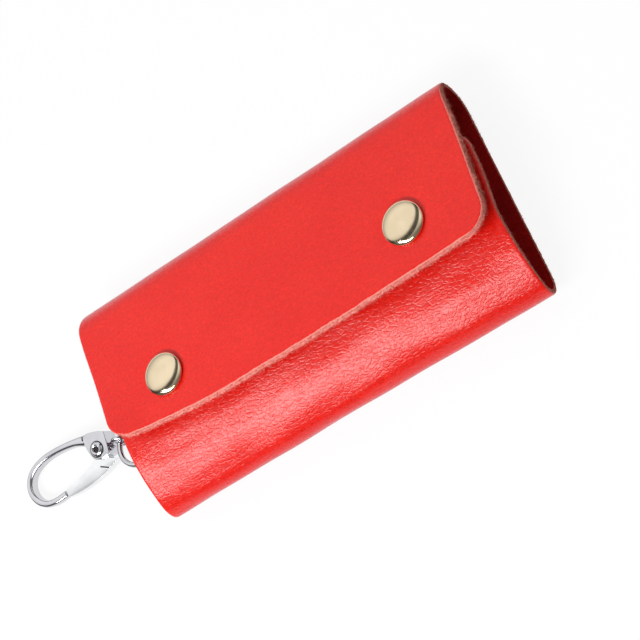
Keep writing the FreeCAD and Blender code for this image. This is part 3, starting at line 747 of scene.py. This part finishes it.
def extruded(name, outline, low, high, bevel):
    """A plate with a smooth outline and rounded edges."""
    ring = catmull([*outline, outline[0]], 3)[:-1]
    bm = bmesh.new()
    lower = [bm.verts.new(Vector((x, y, low)) * MM) for x, y in ring]
    upper = [bm.verts.new(Vector((x, y, high)) * MM) for x, y in ring]
    count = len(ring)
    bm.faces.new(lower)
    bm.faces.new(upper[::-1])
    for i in range(count):
        bm.faces.new((lower[(i + 1) % count], lower[i], upper[i], upper[(i + 1) % count]))
    bmesh.ops.recalc_face_normals(bm, faces=bm.faces)
    rims = [e for e in bm.edges if abs(e.verts[0].co.z - e.verts[1].co.z) < 1e-9]
    bmesh.ops.bevel(bm, geom=rims, offset=bevel * MM, segments=4, profile=0.5, affect="EDGES",
                    clamp_overlap=True)
    return finished(name, bm)


def finished(name, bm):
    """An object from a bmesh that is used up."""
    bmesh.ops.recalc_face_normals(bm, faces=bm.faces)
    mesh = bpy.data.meshes.new(name)
    bm.to_mesh(mesh)
    bm.free()
    soften(mesh, 40)
    made = bpy.data.objects.new(name, mesh)
    scene.collection.objects.link(made)
    return made


def carve(target, cutters):
    """Cuts the cutters out of the target and removes them."""
    for cutter in cutters:
        step = target.modifiers.new("cut", "BOOLEAN")
        step.operation = "DIFFERENCE"
        step.solver = "EXACT"
        step.object = cutter
    bpy.context.view_layer.update()
    mesh = bpy.data.meshes.new_from_object(target.evaluated_get(bpy.context.evaluated_depsgraph_get()))
    soften(mesh, 40)
    target.modifiers.clear()
    target.data = mesh
    for cutter in cutters:
        bpy.data.objects.remove(cutter)


def block(name, low, high):
    """A square cutter from its low corner to its high one."""
    bm = bmesh.new()
    bmesh.ops.create_cube(bm, size=1)
    for v in bm.verts:
        v.co = Vector([(l + h) / 2 + c * (h - l) for l, h, c in zip(low, high, v.co)]) * MM
    return finished(name, bm)


def along_x(start, end):
    """Turns a lathe's axis to the clasp's own axis, from start towards end."""
    turn = Vector((end - start, 0, 0)).to_track_quat("Z", "Y").to_matrix().to_4x4()
    return Matrix.Translation((start * MM, 0, 0)) @ turn


def drill(name, radius, low, high, steps, place):
    """A round cutter from low to high on the place's Z axis."""
    return lathe(name, [(0, low), (radius, low), (radius, high), (0, high)], steps, place, CHROME)


def turned_by(angle, place):
    """Turns a cutter about Z by an angle in degrees and sets it at a place."""
    return Matrix.Translation(place * MM) @ Matrix.Rotation(math.radians(angle), 4, "Z")


shank = extruded("clasp_body", SHANK, -2.4, 2.4, 0.75)
chamber = drill("chamber", 1.62, 0, 1.2, 40, along_x(-3.8, -9))
neck = drill("neck", 1.0, 0, 2.0, 40, along_x(-2.4, -9))
carve(shank, [block("slot", (-16, -14, -1.42), (-4.7, 2.1, 1.42)), chamber, neck])
bm = bmesh.new()
sweep_bow(bm)
bow = finished("bow", bm)
for part in (shank, bow):
    notch = block("notch", (-0.24, -0.6, NOTCH_FLOOR), (0.24, 0.6, 3.2))
    notch.data.transform(turned_by(-8, NOTCH))
    carve(part, [notch])
bm = bmesh.new()
bm.from_mesh(shank.data)
bm.from_mesh(bow.data)
bpy.data.objects.remove(bow)
bmesh.ops.recalc_face_normals(bm, faces=bm.faces)
bm.to_mesh(shank.data)
bm.free()
soften(shank.data, 60)
gate = extruded("gate_lever", GATE, -1.28, 1.28, 0.5)
at_pivot = Matrix.Translation(PIVOT * MM)
bore = drill("bore", 1.0, -3, 3, 32, at_pivot)
well = drill("well", 1.5, 0.3, 3, 32, at_pivot)
groove = block("groove", (-1.55, -0.19, GROOVE_FLOOR), (1.55, 0.19, 1.6))
groove.data.transform(turned_by(-22.8, GROOVE))
carve(gate, [bore, well, groove])
rivet = lathe("clasp_rivet", RIVET, RIVET_STEPS, CLASP @ at_pivot, CHROME)
# The rivet's dimple and the ring under its rim get the painted shade.
rivet.data.materials.append(PAINTED_SHADE)
for ring in RIVET_SHADED:
    for face in rivet.data.polygons[ring * RIVET_STEPS:(ring + 1) * RIVET_STEPS]:
        face.material_index = 1
# The floors of the notch and of the gate's groove get the painted shade.
for piece, finish, hollow, middle in ((shank, CHROME, NOTCH_FLOOR, NOTCH),
                                      # The gate takes the lighter chrome copy as painted light.
                                      (gate, CHROME_PAINTED_LIGHTER, GROOVE_FLOOR, GROOVE)):
    mesh = piece.data
    dark = [abs(f.center.z - hollow * MM) < 1e-6 and (f.center.xy - middle.xy * MM).length < 2 * MM
            for f in mesh.polygons]
    mesh.transform(CLASP)
    mesh.materials.clear()
    mesh.materials.append(finish)
    mesh.materials.append(PAINTED_SHADE)
    mesh.polygons.foreach_set("material_index", [int(d) for d in dark])
for piece, node, body in ((shank, "clasp_hook", "clasp"), (gate, "clasp_gate", "clasp_gate"),
                          (rivet, "clasp_pivot", "clasp")):
    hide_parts(node)
    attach(piece, body)

# Finishes of the CAD nodes.
for name, node in nodes.items():
    if name.endswith("spring"):
        finish = WIRE
    elif "snap" in name:
        finish = NICKEL
    elif name.startswith(("clasp", "link", "swivel")):
        finish = CHROME
    else:
        finish = SATIN
    node.data.materials.clear()
    node.data.materials.append(finish)

# Floor: white to the camera and to reflections, with a share of its own shading left for the shadow.
FLOOR_HALF, FLOOR_Z = 3, -0.0003
FLOOR_WHITE = 0.9
s = Shader("floor")
seen = s.add("ShaderNodeLightPath")
plain = s.math("ADD", s.math("ADD", seen.outputs["Is Camera Ray"], seen.outputs["Is Glossy Ray"]),
               seen.outputs["Is Transmission Ray"], clamp=True)
matt = s.add("ShaderNodeBsdfDiffuse", {"Color": (0.90, 0.90, 0.90, 1)}).outputs[0]
white = s.add("ShaderNodeEmission", {"Color": (1, 1, 1, 1), "Strength": 1.0}).outputs[0]
both = s.add("ShaderNodeMixShader")
s.put(both.inputs[0], s.math("MULTIPLY", plain, FLOOR_WHITE))
s.put(both.inputs[1], matt)
s.put(both.inputs[2], white)
s.put(s.out.inputs[0], both.outputs[0])
mesh = bpy.data.meshes.new("floor")
corners = [(x * FLOOR_HALF, y * FLOOR_HALF, FLOOR_Z) for x, y in ((-1, -1), (1, -1), (1, 1), (-1, 1))]
mesh.from_pydata(corners, [], [(0, 1, 2, 3)])
mesh.materials.append(s.material)
floor = bpy.data.objects.new("floor", mesh)
scene.collection.objects.link(floor)

# World: a light tent that is brighter behind and above the case, with one dark band for the metal to mirror.
BAND_AXIS = (-0.41, 0.804, 0.435)
world = bpy.data.worlds.new("studio")
scene.world = world
world.use_nodes = True
sky = Nodes(world.node_tree)
where = sky.add("ShaderNodeTexCoord").outputs["Generated"]
split = sky.add("ShaderNodeSeparateXYZ", {0: where}).outputs
tent = sky.ramp(split[1], -0.35, 0.3, 0.2, 1.08, "LINEAR")
rise = sky.ramp(split[2], 0.0, 0.6, 0.42, 1.0)
facing = sky.add("ShaderNodeVectorMath", {0: where, 1: BAND_AXIS}, operation="DOT_PRODUCT").outputs["Value"]
band = sky.math("MULTIPLY", sky.ramp(facing, 0.26, 0.42), sky.ramp(facing, 0.61, 0.72, 1.0, 0.0))
level = sky.math("MULTIPLY", sky.math("MULTIPLY", tent, rise), sky.math("MULTIPLY_ADD", band, -0.9, 1.0))
sky.put(sky.tree.nodes["Background"].inputs["Color"], level)


def lamp(name, spot, size, power):
    """A rectangular lamp that faces the case."""
    data = bpy.data.lights.new(name, "AREA")
    data.shape = "RECTANGLE"
    data.size, data.size_y = size
    data.energy = power
    made = bpy.data.objects.new(name, data)
    scene.collection.objects.link(made)
    made.location = spot
    made.rotation_euler = Vector(spot).to_track_quat("Z", "Y").to_euler()


lamp("key", (-0.35, -0.331, 0.609), (0.56, 0.16), 5.2)
lamp("rim", (-0.06, -0.47, 0.59), (0.20, 0.15), 0.5)
